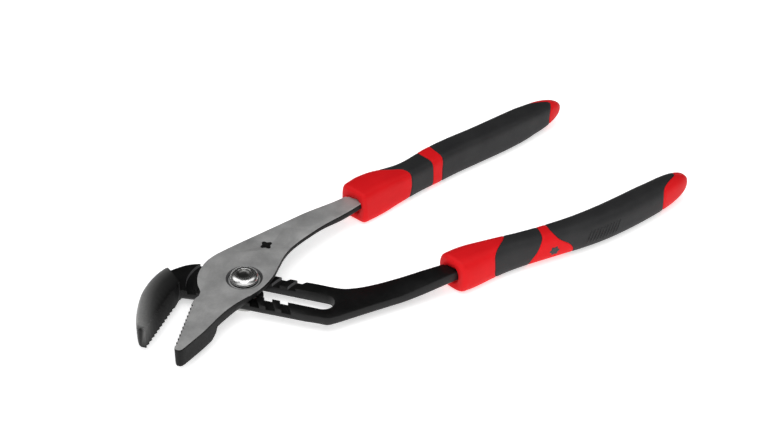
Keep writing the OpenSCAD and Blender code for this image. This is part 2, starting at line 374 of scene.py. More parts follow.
def bevel(obj, width, segments=2, angle=34):
    """Rounds every edge sharper than the angle."""
    modifier = obj.modifiers.new("edge", "BEVEL")
    modifier.width = width
    modifier.segments = segments
    modifier.limit_method = "ANGLE"
    modifier.angle_limit = math.radians(angle)
    modifier.miter_outer = "MITER_ARC"
    apply_modifiers(obj)


def tidy(obj, smooth_angle=32):
    """Clears slivers left by the cuts, and smooths the shading up to an angle."""
    bm = bmesh.new()
    bm.from_mesh(obj.data)
    bmesh.ops.remove_doubles(bm, verts=bm.verts, dist=0.004)
    bmesh.ops.dissolve_degenerate(bm, edges=bm.edges, dist=0.004)
    bmesh.ops.recalc_face_normals(bm, faces=bm.faces)
    bm.to_mesh(obj.data)
    bm.free()
    for face in obj.data.polygons:
        face.use_smooth = True
    obj.data.set_sharp_from_angle(angle=math.radians(smooth_angle))


def prism(name, outline, bottom, top):
    """Straight-walled solid on an outline."""
    rings = [[(x, y, z) for x, y in outline] for z in (bottom, top)]
    return to_object(name, rings_to_bmesh(rings))


def skirted(name, outline, rows):
    """Plate whose wall follows rows of (inset, least inset, height), the inset scaled by each weight."""
    flat = [(x, y) for x, y, _ in outline]
    weights = [w for _, _, w in outline]
    rings = []
    for inset, least, z in rows:
        amounts = [max(inset * w, least) for w in weights]
        rings.append([(x, y, z) for x, y in inset_outline(flat, amounts)])
    return to_object(name, rings_to_bmesh(rings))


def ring_sector(name, u, inner, outer, span, bottom, top, steps=24):
    """Sector of a ring on the jaw side of a bolt position, over a span of degrees."""
    start, end = (math.degrees(SLOT_ANGLE) + 180 + turn for turn in span)
    outline = arc(outer, start, end, steps, along(u, 0))
    outline += list(reversed(arc(inner, start, end, steps, along(u, 0))))
    return prism(name, outline, bottom, top)


def revolved(name, profile, steps=96):
    """Profile of (radius, height) turned about the pivot's axis, and closed where it stays off it."""
    on_axis = 1e-6
    bm = bmesh.new()
    rows = []
    for r, z in profile:
        if r < on_axis:
            rows.append([bm.verts.new((0, 0, z))])
            continue
        rows.append([
            bm.verts.new((r * math.cos(t), r * math.sin(t), z))
            for t in (2 * math.pi * k / steps for k in range(steps))
        ])
    closed = profile[0][0] > on_axis
    pairs = list(zip(rows, rows[1:])) + ([(rows[-1], rows[0])] if closed else [])
    for a, b in pairs:
        for k in range(steps):
            n = (k + 1) % steps
            if len(a) == 1:
                bm.faces.new((a[0], b[n], b[k]))
            elif len(b) == 1:
                bm.faces.new((a[k], a[n], b[0]))
            else:
                bm.faces.new((a[k], a[n], b[n], b[k]))
    return to_object(name, bm)


def bend_heights(obj, cuts, height_at):
    """Adds edge loops at the cuts, then moves each point to the height given for its x and z."""
    bm = bmesh.new()
    bm.from_mesh(obj.data)
    for x in cuts:
        bmesh.ops.bisect_plane(
            bm, geom=bm.verts[:] + bm.edges[:] + bm.faces[:], plane_co=(x, 0, 0), plane_no=(1, 0, 0)
        )
    for v in bm.verts:
        v.co.z = height_at(v.co.x, v.co.z)
    bm.to_mesh(obj.data)
    bm.free()


def finished(obj, body, node, materials):
    """Scales a piece to metres, gives it its materials, and puts it on its body for its CAD node."""
    for v in obj.data.vertices:
        v.co *= MM
    for m in materials:
        obj.data.materials.append(m)
    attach(obj, body)
    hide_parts(node)
    return obj


def paint(obj, chosen):
    """Gives each face the material index chosen for its centre and normal."""
    for face in obj.data.polygons:
        face.material_index = chosen(face.center, face.normal)


# ---------------------------------------------------------------- materials

class Nodes:
    """Short way to build a material's nodes."""

    def __init__(self, name):
        self.material = bpy.data.materials.new(name)
        self.material.use_nodes = True
        self.tree = self.material.node_tree
        self.shader = next(n for n in self.tree.nodes if n.type == "BSDF_PRINCIPLED")

    def add(self, kind, links=None, **values):
        """New node with its settings, and with each input linked or set."""
        node = self.tree.nodes.new(kind)
        for key, value in values.items():
            setattr(node, key, value)
        for key, value in (links or {}).items():
            if isinstance(value, bpy.types.NodeSocket):
                self.tree.links.new(value, node.inputs[key])
            else:
                node.inputs[key].default_value = value
        return node

    def point(self):
        return self.add("ShaderNodeTexCoord").outputs["Object"]

    def stretched(self, scale, turn=0.0):
        """Object coordinates, scaled along each axis and turned about Z."""
        mapping = self.add("ShaderNodeMapping", {"Vector": self.point(), "Scale": scale})
        mapping.inputs["Rotation"].default_value = (0, 0, turn)
        return mapping.outputs["Vector"]

    def noise(self, vector, scale, detail=3.0, roughness=0.55):
        links = {"Vector": vector, "Scale": scale, "Detail": detail, "Roughness": roughness}
        return self.add("ShaderNodeTexNoise", links).outputs["Fac"]

    def ramp(self, value, low, high, start=0.3, end=0.7):
        """Maps a value from start..end to low..high, numbers or colours."""
        if isinstance(low, (int, float)):
            links = {"Value": value, "From Min": start, "From Max": end, "To Min": low, "To Max": high}
            return self.add("ShaderNodeMapRange", links).outputs["Result"]
        node = self.add("ShaderNodeValToRGB", {"Fac": value})
        node.color_ramp.elements[0].position = start
        node.color_ramp.elements[1].position = end
        node.color_ramp.elements[0].color = (*low, 1)
        node.color_ramp.elements[1].color = (*high, 1)
        return node.outputs["Color"]

    def sum(self, a, b, operation="ADD"):
        return self.add("ShaderNodeMath", {0: a, 1: b}, operation=operation).outputs[0]

    def bump(self, height, strength, distance):
        links = {"Height": height, "Strength": strength, "Distance": distance}
        normal = self.add("ShaderNodeBump", links).outputs["Normal"]
        self.tree.links.new(normal, self.shader.inputs["Normal"])

    def set(self, **values):
        """Links or sets the shader's inputs, and gives back the material."""
        for key, value in values.items():
            socket = self.shader.inputs[key.replace("_", " ")]
            if isinstance(value, bpy.types.NodeSocket):
                self.tree.links.new(value, socket)
            elif isinstance(value, tuple) and len(value) == 3:
                socket.default_value = (*value, 1)
            else:
                socket.default_value = value
        return self.material


def ground_steel():
    """Flat ground steel: fine cross grain, faint clouds, and a soft satin."""
    n = Nodes("ground_steel")
    grain = n.noise(n.stretched((900, 5200, 900), math.radians(28)), 1.0, 4)
    specks = n.noise(n.point(), 4200, 2)
    clouds = n.noise(n.point(), 95, 4, 0.6)
    tone = n.sum(n.sum(grain, 0.35, "MULTIPLY"), n.sum(clouds, 0.65, "MULTIPLY"))
    n.bump(n.sum(grain, specks), 0.3, 0.00006)
    return n.set(
        Base_Color=n.ramp(tone, (0.31, 0.31, 0.31), (0.50, 0.50, 0.495), 0.34, 0.66),
        Metallic=0.35,
        Roughness=n.ramp(clouds, 0.42, 0.54),
    )


def blackened_steel(name="blackened_steel", low=0.002, high=0.006, rough=(0.34, 0.5), sheen=0.3):
    """Dark oxide on forged steel: slight mottling, a fine scale, and lighter metal on the jaw's crown, for
    wear and a painted highlight.
    """
    n = Nodes(name)
    scale = n.noise(n.point(), 1500, 4)
    clouds = n.noise(n.point(), 130, 4, 0.6)
    n.bump(n.sum(scale, clouds), 0.28, 0.00008)
    # Painted highlight, partly wear: lighter steel is mixed in where the crown's stored value is set
    wear_and_highlight = n.add("ShaderNodeAttribute", attribute_name="crown_wear_and_highlight").outputs["Fac"]
    dark = n.ramp(clouds, (low, low, low), (high, high, high * 1.03))
    bright = n.ramp(scale, (0.30, 0.30, 0.30), (0.40, 0.40, 0.39))
    tone = n.add("ShaderNodeMix", data_type="RGBA")
    n.tree.links.new(wear_and_highlight, tone.inputs["Factor"])
    n.tree.links.new(dark, tone.inputs["A"])
    n.tree.links.new(bright, tone.inputs["B"])
    return n.set(
        Base_Color=tone.outputs["Result"],
        Metallic=0.15,
        Roughness=n.ramp(scale, *rough),
        Specular_IOR_Level=sheen,
    )


def chrome():
    """Bright plated bolt with hairline polishing marks."""
    n = Nodes("bolt_chrome")
    marks = n.noise(n.stretched((3000, 3000, 300)), 1.0, 3)
    n.bump(marks, 0.08, 0.00003)
    return n.set(
        Base_Color=n.ramp(marks, (0.70, 0.70, 0.70), (0.80, 0.80, 0.79)),
        Metallic=1.0,
        Roughness=n.ramp(marks, 0.2, 0.3),
    )


def plated_steel(name="plated_steel", low=0.42, high=0.58):
    """Duller plating, with slight clouding."""
    n = Nodes(name)
    clouds = n.noise(n.point(), 400, 4)
    marks = n.noise(n.point(), 3500, 2)
    n.bump(marks, 0.15, 0.00004)
    return n.set(
        Base_Color=n.ramp(clouds, (low, low, low * 0.98), (high, high, high * 0.97)),
        Metallic=1.0,
        Roughness=n.ramp(clouds, 0.26, 0.42),
    )


def moulded_plastic():
    """Red core: smooth satin plastic with a fine moulded grain."""
    n = Nodes("red_plastic")
    grain = n.noise(n.point(), 2600, 3)
    clouds = n.noise(n.point(), 60, 3)
    n.bump(grain, 0.16, 0.00008)
    return n.set(
        Base_Color=n.ramp(clouds, (0.66, 0.009, 0.012), (0.76, 0.012, 0.016)),
        Roughness=n.ramp(grain, 0.42, 0.54),
        Specular_IOR_Level=0.08,
    )


def soft_rubber():
    """Black sleeves: soft-touch rubber, with a pebbled skin and slight dusting."""
    n = Nodes("black_rubber")
    pebbles = n.add("ShaderNodeTexVoronoi", {"Vector": n.point(), "Scale": 1900.0}).outputs["Distance"]
    grain = n.noise(n.point(), 3800, 3)
    clouds = n.noise(n.point(), 85, 4, 0.6)
    n.bump(n.sum(pebbles, grain), 0.3, 0.0001)
    return n.set(
        Base_Color=n.ramp(clouds, (0.012, 0.0122, 0.013), (0.02, 0.0203, 0.021)),
        Roughness=n.ramp(grain, 0.56, 0.7),
        Specular_IOR_Level=0.34,
    )


def inlay_plastic():
    """Dark hard plastic of the inlay, with a fine grain."""
    n = Nodes("inlay_plastic")
    grain = n.noise(n.point(), 3000, 3)
    n.bump(grain, 0.2, 0.00008)
    return n.set(
        Base_Color=n.ramp(grain, (0.016, 0.016, 0.018), (0.028, 0.028, 0.03)),
        Roughness=0.55,
    )


def pale_floor():
    """Matt white, with a little light of its own so that the shadows on it stay faint."""
    n = Nodes("pale_floor")
    clouds = n.noise(n.point(), 3, 2)
    return n.set(
        Base_Color=n.ramp(clouds, (0.93, 0.93, 0.93), (0.95, 0.95, 0.95)),
        Roughness=0.95,
        Specular_IOR_Level=0.1,
        Emission_Color=(1.0, 1.0, 1.0),
        Emission_Strength=FLOOR_GLOW,
    )


STEEL = ground_steel()
BLACK = blackened_steel()
# Black coat of the sides, also used as painted shade in the groove at the bolt head's foot
COAT_AND_SHADE_BLACK = blackened_steel("coated_edges_and_painted_shade", 0.003, 0.008, (0.5, 0.65), 0.2)
TEETH_BLACK = blackened_steel("cut_teeth", 0.002, 0.006, (0.6, 0.75))
WORN_STEEL = blackened_steel("worn_grooves", 0.10, 0.16, (0.35, 0.5))
# Painted shade for the cone of the recess round the bolt head
RECESS_SHADE_STEEL = blackened_steel("recess_painted_shade", 0.05, 0.10, (0.4, 0.55))
CHROME = chrome()
PLATED = plated_steel()
# Painted shade: darker plating in the bolt's dimple, standing in for its dark reflection
DIMPLE_SHADE = plated_steel("dimple_painted_shade", 0.13, 0.2)
RED = moulded_plastic()
RUBBER = soft_rubber()
INLAY = inlay_plastic()


# ---------------------------------------------------------------- levers

def weighted(points, weight=1.0):
    """Points with the share of a skirt's inset that each takes."""
    return [(x, y, weight) for x, y in points]


def distinct(outline):
    """Weighted outline without points that fall on each other."""
    lookup = {(x, y): w for x, y, w in outline}
    return [(x, y, lookup[(x, y)]) for x, y in without_repeats([(x, y) for x, y, _ in outline])]


def thickened(lever, bottom, top, bottom_reach, top_reach):
    """Lets an arm grow from its plate's heights to those of the tang, over a reach in x for each face."""
    start = min(bottom_reach[0], top_reach[0])

    def height(x, z):
        share = (z - bottom) / (top - bottom)
        low = between(x, *bottom_reach, bottom, MID_Z - TANG_HALF)
        high = between(x, *top_reach, top, MID_Z + TANG_HALF)
        return low + (high - low) * share if x > start else z

    bend_heights(lever, [start + ARM_CUT_STEP * k for k in range(ARM_CUTS)], height)


def lower_jaw():
    """Hooked jaw: a closed section from the crowned back to the teeth, swept from tip to neck."""
    inner = saw(LOWER_JAW_TIP, LOWER_JAW_ROOT) + spline([LOWER_JAW_ROOT] + LOWER_JAW_THROAT, 3)[1:]
    lengths = [0.0]
    for a, b in zip(inner, inner[1:]):
        lengths.append(lengths[-1] + math.dist(a, b))
    outer = resampled(spline(LOWER_JAW_BACK, 8), [v / lengths[-1] for v in lengths])
    rings = []
    for p, q in zip(outer, inner):
        width = math.dist(p, q)
        squeeze = min(1.0, width / CROWN_WIDTH)
        edge = max(width - JAW_EDGE, 0.86 * width)
        section = [(d * squeeze, z) for d, z in JAW_CROWN]
        section += [(edge, JAW_UP), (width, JAW_UP - 0.2)]
        section += [(width, JAW_EDGE - LOWER_T), (edge, -LOWER_T - FACE_GAP / 2)]
        unit = ((q[0] - p[0]) / width, (q[1] - p[1]) / width)
        rings.append([(p[0] + unit[0] * d, p[1] + unit[1] * d, MID_Z + z) for d, z in section])
    return to_object("lower_jaw", rings_to_bmesh(rings))


def groove_bearing(centre, normal):
    """Whether a face is a groove wall that the tongue bears on, facing the pivot's side of its arc."""
    if abs(normal.z) > 0.5 or not LOWER_TOP - GROOVE_H < centre.z < LOWER_TOP:
        return False
    wall = TONGUE_R + TONGUE_W / 2 + GROOVE_GAP
    near_enough, straight_enough = 0.25, 0.9
    for i in range(SETTINGS):
        at = along(SLOT_FIRST + i * PITCH, 0)
        inward = Vector((at[0] - centre.x, at[1] - centre.y))
        on_wall = abs(inward.length - wall) < near_enough
        if on_wall and inward.normalized().dot(normal.xy) > straight_enough:
            return True
    return False


def crown_wear_and_highlight(obj):
    """Stores how much lighter the crown of the jaw is painted, for wear and a painted highlight: most at its
    back, none at its blunt tip.
    """
    back = spline(LOWER_JAW_BACK, 6)
    values = []
    for v in obj.data.vertices:
        x, y, z = v.co
        on_jaw = x < JAW_NECK and z > LOWER_TOP
        away = min(math.dist((x, y), p) for p in back) if on_jaw else CROWN_HIGHLIGHT_REACH
        share = max(1 - away / CROWN_HIGHLIGHT_REACH, 0) ** 2
        share *= between(x, *CROWN_HIGHLIGHT_START, 0, 1)
        share *= between(x, *CROWN_HIGHLIGHT_FADE, 1, NECK_HIGHLIGHT)
        values.append(share * between(z, MID_Z, MID_Z + 2, 0, 1))
    obj.data.attributes.new("crown_wear_and_highlight", "FLOAT", "POINT").data.foreach_set("value", values)


def lower_lever():
    """Black lever: neck, slotted bar and arm, joined to the jaw, then slotted and grooved."""
    outline = weighted([(-27.5, 17), (-26.5, 15)], 0.2) + weighted(spline(LOWER_NECK_NEAR, 4), 0.5)
    outline += weighted(spline(LOWER_NEAR, 5)) + weighted(spline(LOWER_FAR, 5))
    outline += weighted(spline(LOWER_NECK_FAR, 5)) + weighted([(-26.5, 24.5), (-27.5, 21)], 0.2)
    rows = [
        (1.4, 0.1, LOWER_BOTTOM), (0.35, 0.02, LOWER_BOTTOM + 0.95), (0.08, 0, LOWER_BOTTOM + 1.4),
        (0, 0, LOWER_BOTTOM + 1.9), (0, 0, LOWER_TOP - 0.4), (0.1, 0.05, LOWER_TOP - 0.12),
        (0.38, 0.12, LOWER_TOP),
    ]
    lever = skirted("lower_lever", distinct(outline), rows)
    thickened(lever, LOWER_BOTTOM, LOWER_TOP, LOWER_ARM_BOTTOM, LOWER_ARM_TOP)
    combine(lever, lower_jaw(), "UNION")
    ends = arc(SLOT_HALF, 90, 270, 20, (SLOT_FIRST, 0)) + arc(SLOT_HALF, -90, 90, 20, (SLOT_LAST, 0))
    slot = [along(u, -v) for u, v in ends]
    combine(lever, prism("slot", slot, LOWER_BOTTOM - 1, LOWER_TOP + 1), "DIFFERENCE")
    inner = TONGUE_R - TONGUE_W / 2 - GROOVE_GAP
    outer = TONGUE_R + TONGUE_W / 2 + GROOVE_GAP
    for i in range(SETTINGS):
        groove = ring_sector(
            "groove", SLOT_FIRST + i * PITCH, inner, outer, (-GROOVE_SPAN, GROOVE_SPAN),
            LOWER_TOP - GROOVE_H, LOWER_TOP + 0.5,
        )
        combine(lever, groove, "DIFFERENCE")
    tidy(lever)
    bevel(lever, EDGE_BEVEL)
    tidy(lever)
    shade_lower_lever(lever)
    # Painted highlight, partly wear: the crown is painted lighter towards its back
    crown_wear_and_highlight(lever)
    return finished(lever, "lower_half", "lower_lever", [BLACK, TEETH_BLACK, WORN_STEEL])


def shade_lower_lever(lever):
    """Matt cut teeth and blunt tip, and worn groove walls; the rest stays black oxide."""
    teeth_end, tip_end, margin = -26, -51, 0.3
    line = Vector(LOWER_JAW_ROOT) - Vector(LOWER_JAW_TIP)
    across = Vector((-line.y, line.x)).normalized()
    blunt = (Vector(LOWER_JAW_BACK[1]) - Vector(LOWER_JAW_TIP)).normalized()
    ahead = Vector((-blunt.y, blunt.x))

    def shade(centre, normal):
        if groove_bearing(centre, normal):
            return 2
        if centre.x < tip_end and abs(normal.xy.dot(ahead)) > 0.94:
            return 1
        off = (Vector(centre[:2]) - Vector(LOWER_JAW_TIP)).dot(across)
        on_teeth = centre.x < teeth_end and -margin < off < TOOTH_H + margin
        return 1 if on_teeth and abs(normal.z) < 0.5 else 0

    paint(lever, shade)


def upper_block():
    """Thick part of the upper jaw, below the plate, ending in a slope outside the shoulder's arc."""
    near = spline(UPPER_NEAR, 5)
    near = [p for p in near if p[0] < UPPER_BLOCK_END[0] + 0.3]
    start = math.degrees(math.atan2(near[-1][1], near[-1][0])) % 360
    end = math.degrees(math.atan2(UPPER_JAW_ROOT[1], UPPER_JAW_ROOT[0])) % 360
    shoulder = arc(SHOULDER_R, start - 1, end + 0.5, 10)
    outline = weighted(saw(UPPER_JAW_ROOT, UPPER_JAW_TIP), 0.0) + weighted(near, 0.0)
    outline += weighted(shoulder, 1.0)
    rows = [
        (3.4, 0.25, MID_Z - JAW_DOWN), (2.9, 0.06, MID_Z - JAW_DOWN + 0.25), (2.2, 0, MID_Z - 3),
        (1.2, 0, MID_Z - 1.5), (0.6, 0, MID_Z - 0.4), (0.3, 0, UPPER_BOTTOM + 1),
    ]
    block = skirted("upper_block", outline, rows)
    bm = bmesh.new()
    bm.from_mesh(block.data)
    for x, z, dx, dz in BLOCK_SLOPES:
        cut = bmesh.ops.bisect_plane(
            bm, geom=bm.verts[:] + bm.edges[:] + bm.faces[:], plane_co=(x, 0, MID_Z + z),
            plane_no=(dx, 0, dz), clear_outer=True,
        )
        edges = [e for e in cut["geom_cut"] if isinstance(e, bmesh.types.BMEdge)]
        bmesh.ops.holes_fill(bm, edges=edges, sides=0)
    bm.to_mesh(block.data)
    bm.free()
    return block


def upper_chamfer(x):
    """Share of the underside chamfer along the upper plate's near side: none at the jaw, whole at the arm."""
    return between(x, *CHAMFER_GROWS, 0, 1)


def stamp():
    """Cutter for the plain lobed mark stamped in the top face."""
    steps = MARK_LOBES * 12
    outline = []
    for k in range(steps):
        t = 2 * math.pi * k / steps
        r = MARK_R * (0.82 + 0.18 * math.cos(MARK_LOBES * t))
        outline.append((MARK_AT[0] + r * math.cos(t), MARK_AT[1] + r * math.sin(t)))
    return prism("stamp", outline, UPPER_TOP - MARK_DEPTH, UPPER_TOP + 1)


def upper_lever():
    """Steel lever: ground top face, coated edges, an undercut arm and a thick jaw."""
    near = spline(UPPER_NEAR, 5)
    outline = weighted(saw(UPPER_JAW_ROOT, UPPER_JAW_TIP), 0.0)
    outline += [(x, y, upper_chamfer(x)) for x, y in near]
    outline += weighted(spline(UPPER_FAR, 5), 1.0)
    outline += weighted(arc(NOSE_R, 122, 168, 18), 0.12) + weighted(spline(UPPER_THROAT, 4), 0.05)
    rows = [
        (2.9, 0, UPPER_BOTTOM), (0.35, 0, UPPER_BOTTOM + 2.1), (0.06, 0, UPPER_BOTTOM + 2.4),
        (0, 0, UPPER_BOTTOM + 2.8), (0, 0, UPPER_TOP - 0.45), (0.12, 0.06, UPPER_TOP - 0.14),
        (0.4, 0.14, UPPER_TOP),
    ]
    lever = skirted("upper_lever", distinct(outline), rows)
    thickened(lever, UPPER_BOTTOM, UPPER_TOP, UPPER_ARM_BOTTOM, UPPER_ARM_TOP)
    combine(lever, upper_block(), "UNION")
    inner, outer = TONGUE_R - TONGUE_W / 2, TONGUE_R + TONGUE_W / 2
    tongue = ring_sector("tongue", 0, inner, outer, TONGUE_ARC, UPPER_BOTTOM - TONGUE_H, UPPER_BOTTOM + 1)
    combine(lever, tongue, "UNION")
    bore = revolved("bore", [
        (0, 0), (SHANK_R + SHANK_GAP, 0), (SHANK_R + SHANK_GAP, UPPER_TOP - SPOT_H),
        (HEAD_R - 0.2, UPPER_TOP - SPOT_H), (HEAD_R - 0.1, UPPER_TOP - 0.9), (HEAD_R + 0.6, UPPER_TOP - 0.9),
        (HEAD_R + 0.75, UPPER_TOP - 0.7), (RECESS_R, UPPER_TOP + 0.05), (RECESS_R, UPPER_TOP + 3),
        (0, UPPER_TOP + 3),
    ])
    combine(lever, bore, "DIFFERENCE")
    combine(lever, stamp(), "DIFFERENCE")
    tidy(lever)
    bevel(lever, EDGE_BEVEL)
    tidy(lever)
    shade_upper_lever(lever)
    return finished(lever, "upper_half", "upper_lever", [STEEL, COAT_AND_SHADE_BLACK, RECESS_SHADE_STEEL])


def shade_upper_lever(lever):
    """Coated sides, stamp and underside, and painted shade on the ring round the bolt; the top face stays
    ground.
    """
    coated_below = 0.62

    def shade(centre, normal):
        stamped = math.dist(centre[:2], MARK_AT) < MARK_R and centre.z < UPPER_TOP - 0.02
        out = math.hypot(*centre[:2])
        # Painted shade round the bolt: the recess cone gets the darker steel, the groove at the head's foot
        # the coated black
        if out < RECESS_R + 0.1 and UPPER_TOP - RECESS_H < centre.z < UPPER_TOP - 0.03:
            return 2 if out > RECESS_EDGE else 1
        return 1 if normal.z < coated_below or stamped else 0

    paint(lever, shade)


# ---------------------------------------------------------------- pivot

def pivot_bolt():
    """Domed head with a dimple, plain shank and threaded end."""
    top = HEAD_Z + HEAD_H
    rim = DIMPLE_R + 0.25
    profile = [(0, top - DIMPLE_H)]
    profile += [(DIMPLE_R - wide, top - deep) for wide, deep in DIMPLE_WALL]
    profile += [(rim, top)]
    for degrees in range(6, 91, 6):
        t = math.radians(degrees)
        profile.append((rim + (HEAD_R - rim) * math.sin(t), top - DOME_H * (1 - math.cos(t))))
    profile += [(HEAD_R - 0.12, HEAD_Z + 0.2), (HEAD_R - 0.4, HEAD_Z), (SHANK_R, HEAD_Z)]
    profile += [(SHANK_R, WASHER_TOP), (THREAD_R, WASHER_TOP)]
    for i in range(THREAD_TURNS):
        z = NUT_H - 0.35 - i * THREAD_PITCH
        profile += [(THREAD_R - 0.05, z), (THREAD_R - 0.05 - THREAD_DEPTH, z - 0.22)]
    profile += [(THREAD_R - 0.1, 0.35), (THREAD_R - 0.45, 0), (0, 0)]
    bolt = revolved("pivot_bolt", profile)
    tidy(bolt, 40)
    # Painted shade: the dimple gets the darker plating
    paint(bolt, lambda centre, _: 1 if centre.z > HEAD_Z + 1 and math.hypot(*centre[:2]) < DIMPLE_R else 0)
    return finished(bolt, "pivot", "pivot_bolt", [CHROME, DIMPLE_SHADE])


def pivot_washer():
    """Flat washer under the slotted bar, with eased edges."""
    low, high, edge = NUT_H, WASHER_TOP, 0.2
    profile = [
        (THREAD_R + edge, low), (WASHER_R - edge, low), (WASHER_R - 0.06, low + 0.06), (WASHER_R, low + edge),
        (WASHER_R, high - edge), (WASHER_R - 0.06, high - 0.06), (WASHER_R - edge, high),
        (THREAD_R + edge, high), (THREAD_R, high - edge), (THREAD_R, low + edge),
    ]
    washer = revolved("pivot_washer", profile)
    tidy(washer, 40)
    return finished(washer, "pivot", "pivot_washer", [PLATED])


def pivot_nut():
    """Hexagon with turned corners and a countersunk bore."""
    nut_bevel = 0.12
    corners = NUT_AF / 2 / math.cos(math.radians(30))
    hexagon = arc(corners, math.degrees(SLOT_ANGLE), math.degrees(SLOT_ANGLE) + 360, 6)[:-1]
    nut = prism("pivot_nut", hexagon, 0, NUT_H - 0.02)
    turned = revolved("turned", [
        (0, -0.01), (NUT_AF / 2 - 0.1, -0.01), (corners + 0.1, 0.75), (corners + 0.1, NUT_H - 0.5),
        (NUT_AF / 2 + 0.2, NUT_H - 0.02), (0, NUT_H - 0.02),
    ])
    combine(nut, turned, "INTERSECT")
    bore = revolved("bore", [
        (0, -1), (THREAD_R + 0.55, -1), (THREAD_R + 0.55, 0.02), (THREAD_R + 0.03, 0.5),
        (THREAD_R + 0.03, NUT_H + 1), (0, NUT_H + 1),
    ])
    combine(nut, bore, "DIFFERENCE")
    tidy(nut)
    bevel(nut, nut_bevel)
    tidy(nut)
    return finished(nut, "pivot", "pivot_nut", [PLATED])


# ---------------------------------------------------------------- grips

class Grip:
    """Smooth body through its stations, with a rounded end, on which every ring is laid."""

    def __init__(self, stations, tip_start, tip_end, blunt, power):
        self.curve = spline(stations, 12)
        self.tip_start, self.tip_end, self.blunt, self.power = tip_start, tip_end, blunt, power

    def size(self, x):
        """Centre, half width and half thickness at x."""
        c = self.curve
        x = min(max(x, c[0][0]), c[-1][0] - 1e-6)
        low, high = 0, len(c) - 1
        while high - low > 1:
            middle = (low + high) // 2
            low, high = (middle, high) if c[middle][0] <= x else (low, middle)
        t = (x - c[low][0]) / max(c[high][0] - c[low][0], 1e-9)
        return [c[low][k] + (c[high][k] - c[low][k]) * t for k in (1, 2, 3)]

    def point(self, x, turn, inset):
        """Point on the skin at x, in the direction turn (0 far side, 90 top, 180 near side)."""
        y, width, thick = self.size(x)
        t = max((x - self.tip_start) / (self.tip_end - self.tip_start), 0)
        close = max(1 - t ** self.blunt, 0) ** (1 / self.blunt)
        n = between(x, self.tip_start - 12, self.tip_end, self.power, 2.6)
        c, s = math.cos(turn), math.sin(turn)
        r = (abs(c) ** n + abs(s) ** n) ** (-1 / n)
        a = max(width * close - inset, 0.02)
        b = max(thick * close - inset, 0.02)
        return (x, y + a * r * c, MID_Z + b * r * s)

    def ring(self, xs, inset):
        """Closed ring on the skin, or inset from it, with its own x in each direction."""
        turns = [2 * math.pi * k / RING_SIDES for k in range(RING_SIDES)]
        return [self.point(x, t, inset) for x, t in zip(xs, turns)]


def boundary(keys, blur=3):
    """Boundary round a grip: x at each ring side, from x at some directions in degrees."""
    angles = sorted(keys)
    wrapped = [(angles[-1] - 360, keys[angles[-1]])] + [(a, keys[a]) for a in angles]
    wrapped += [(angles[0] + 360, keys[angles[0]])]
    found = []
    for k in range(RING_SIDES):
        turn = 360 * k / RING_SIDES
        for (a, p), (b, q) in zip(wrapped, wrapped[1:]):
            if a <= turn <= b:
                found.append(p + (q - p) * (turn - a) / (b - a))
                break
    for _ in range(2):
        found = [
            sum(found[(k + d) % RING_SIDES] for d in range(-blur, blur + 1)) / (2 * blur + 1)
            for k in range(RING_SIDES)
        ]
    return found


def mix(a, b, t):
    """Boundary a share of the way from a to b."""
    return [p + (q - p) * t for p, q in zip(a, b)]


def skin(grip, start, end, from_edge=True, to_edge=True):
    """Rings of outer skin between two boundaries, rolled into the seam at each edge."""
    length = sum(q - p for p, q in zip(start, end)) / len(start)
    steps = max(int(length / ROW_STEP), 3)
    rings = []
    if from_edge:
        rings += [grip.ring([x + d * SEAM_ROUND for x in start], dip) for d, dip in SEAM_ROLL]
    a = [x + SEAM_ROUND for x in start] if from_edge else start
    b = [x - SEAM_ROUND for x in end] if to_edge else end
    rings += [grip.ring(mix(a, b, k / steps), 0) for k in range(steps + 1)]
    if to_edge:
        rings += [grip.ring([x - d * SEAM_ROUND for x in end], dip) for d, dip in reversed(SEAM_ROLL)]
    return rings


def floor_rings(grip, start, end, inset):
    """Rings of the core's recess between two boundaries."""
    length = sum(q - p for p, q in zip(start, end)) / len(start)
    steps = max(int(length / (2.5 * ROW_STEP)), 2)
    return [grip.ring(mix(start, end, k / steps), inset) for k in range(steps + 1)]


def grip_core(name, grip, front, edges):
    """Hard core: collar with a rounded mouth, recesses for the sleeves, band and end cap."""
    rings = [grip.ring([x + d for x in front], dip) for d, dip in MOUTH_WALL]
    for degrees in range(0, 91, 15):
        t = math.radians(degrees)
        rolled = [x + MOUTH_R * (1 - math.cos(t)) for x in front]
        rings.append(grip.ring(rolled, MOUTH_R * (1 - math.sin(t))))
    collar_start = [x + MOUTH_R + 0.3 for x in front]
    rings += skin(grip, collar_start, edges[0], from_edge=False)
    rings += floor_rings(grip, edges[0], edges[1], SLEEVE_T)
    rings += skin(grip, edges[1], edges[2])
    rings += floor_rings(grip, edges[2], edges[3], SLEEVE_T)
    cap = edges[3]
    rings += [grip.ring([x + d for x in cap], dip) for d, dip in CAP_SEAM]
    cap_start = [x + CAP_SEAM[-1][0] for x in cap]
    end = [grip.tip_end] * RING_SIDES
    for k in range(1, CAP_ROWS + 1):
        share = math.sin(math.pi / 2 * k / CAP_ROWS)
        rings.append(grip.ring(mix(cap_start, end, min(share, 0.9995)), 0))
    obj = to_object(name, rings_to_bmesh(rings))
    tidy(obj, 50)
    return obj


def grip_sleeve(name, grip, start, end):
    """Soft sleeve: a closed ring with rolled edges that lies in the core's recess."""
    a, b = [x + SLEEVE_GAP for x in start], [x - SLEEVE_GAP for x in end]
    rings = skin(grip, a, b)
    rings += list(reversed(floor_rings(grip, a, b, SLEEVE_T - SLEEVE_GAP)))
    bm = rings_to_bmesh(rings, caps=False)
    bm.verts.ensure_lookup_table()
    first = bm.verts[: RING_SIDES]
    last = bm.verts[(len(rings) - 1) * RING_SIDES:]
    for k in range(RING_SIDES):
        n = (k + 1) % RING_SIDES
        bm.faces.new((last[k], last[n], first[n], first[k]))
    obj = to_object(name, bm)
    tidy(obj, 50)
    return obj


